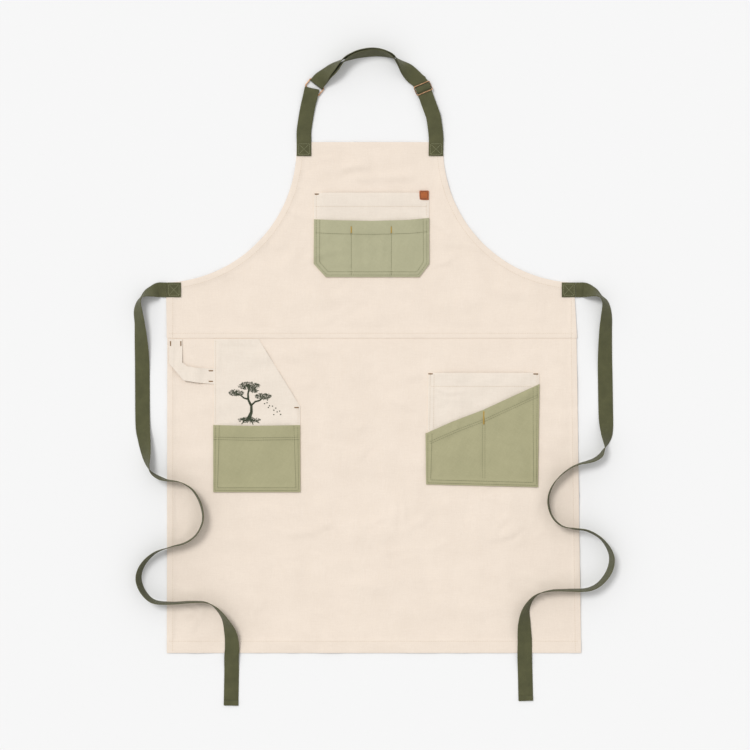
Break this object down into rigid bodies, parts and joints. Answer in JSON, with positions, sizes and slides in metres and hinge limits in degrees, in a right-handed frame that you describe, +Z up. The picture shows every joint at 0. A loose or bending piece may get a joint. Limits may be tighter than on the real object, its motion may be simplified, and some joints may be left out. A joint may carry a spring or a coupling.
{
  "type": "bib apron",
  "caption": "Canvas bib apron laid flat, with patch pockets, a towel loop, an adjustable webbing neck loop with a metal ring and slider, and two loose waist ties.",
  "frame": {"origin": "on the surface that the apron lies on, under the middle of the apron measured without its two loose waist ties", "axes": "+Y runs from the hem to the neck, +X to the right of someone who looks at the front, +Z up out of the front face"},
  "size_m": [0.815, 1.1173, 0.0283],
  "materials": {
    "canvas": "natural cream cotton canvas, matt plain weave",
    "pocket_canvas": "sage green cotton twill, matt",
    "webbing": "olive cotton webbing, ribbed, matt",
    "hardware": "antique brass, satin with worn edges",
    "leather": "tan leather, fine grain, burnished edge",
    "cream_thread": "cream topstitching thread",
    "gold_thread": "gold topstitching thread",
    "brown_thread": "tan brown topstitching thread",
    "green_thread": "green topstitching thread",
    "embroidery": "dark green satin stitch embroidery"
  },
  "bodies": {
    "apron": {"bib_panel": "canvas", "skirt_panel": "canvas", "chest_pocket_back": "canvas", "chest_pocket_front": "pocket_canvas", "left_pocket_back": "canvas", "left_pocket_front": "pocket_canvas", "right_pocket_back": "canvas", "right_pocket_front": "pocket_canvas", "towel_loop": "canvas", "leather_patch": "leather", "left_strap_sewn_end": "webbing", "right_strap_sewn_end": "webbing", "left_tie_sewn_end": "webbing", "right_tie_sewn_end": "webbing", "left_waist_tie": "webbing", "right_waist_tie": "webbing", "waist_seam_thread": "cream_thread", "hem_thread": "cream_thread", "gold_bartacks": "gold_thread", "brown_bartacks": "brown_thread", "strap_box_stitches": "green_thread", "patch_stitches": "brown_thread", "tree_embroidery": "embroidery"},
    "neck_loop": {"short_neck_strap": "webbing", "main_neck_strap": "webbing"},
    "ring": {"strap_ring": "hardware"},
    "slider": {"slider_frame": "hardware", "slider_loop_end": "webbing"}
  },
  "joints": [
    {"name": "neck_loop_fold", "type": "hinge", "parent": "apron", "child": "neck_loop", "pos_m": [-0.007, 0.3555, 0.0036], "axis": [1, 0, 0], "range_deg": [0, 150]},
    {"name": "ring_swivel", "type": "hinge", "parent": "neck_loop", "child": "ring", "pos_m": [-0.106, 0.441, 0.0029], "axis": [0.788, -0.6157, 0], "range_deg": [0, 10]},
    {"name": "slider_slide", "type": "slide", "parent": "neck_loop", "child": "slider", "axis": [-0.342, 0.9397, 0], "range_m": [-0.032, 0]}
  ]
}
